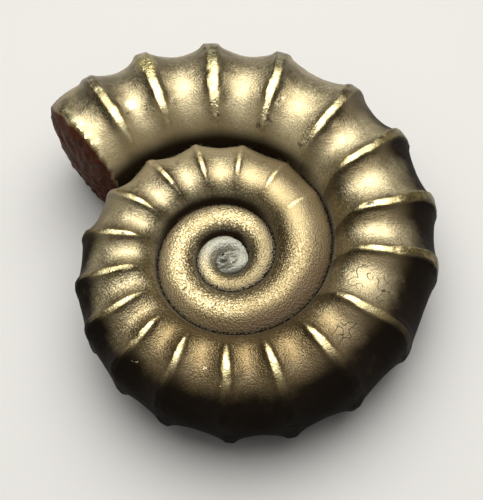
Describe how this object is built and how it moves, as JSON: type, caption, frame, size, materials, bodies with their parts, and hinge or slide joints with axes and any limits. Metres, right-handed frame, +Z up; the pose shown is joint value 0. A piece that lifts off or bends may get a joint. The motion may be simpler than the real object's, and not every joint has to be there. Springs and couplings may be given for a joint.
{
  "type": "pyritised ammonite fossil",
  "caption": "Small ribbed spiral fossil shell, preserved in brassy pyrite, loosely coiled with a broken mouth, lying flat on one flank.",
  "frame": {"origin": "centre of the bounding box, on the surface that it lies on", "axes": "+Z up, near the spiral's axis, which leans 2.3 degrees from it because the shell rests on its lowest ribs; from above the shell widens anticlockwise, and its mouth is on the -X side at 140 degrees from +X"},
  "size_m": [0.0138, 0.0146, 0.0055],
  "materials": {
    "pyrite": "satin brassy pyrite, worn brighter on the rib crests, dark in the seams, grey at the centre"
  },
  "bodies": {
    "root": {"ammonite": "pyrite"}
  },
  "joints": []
}
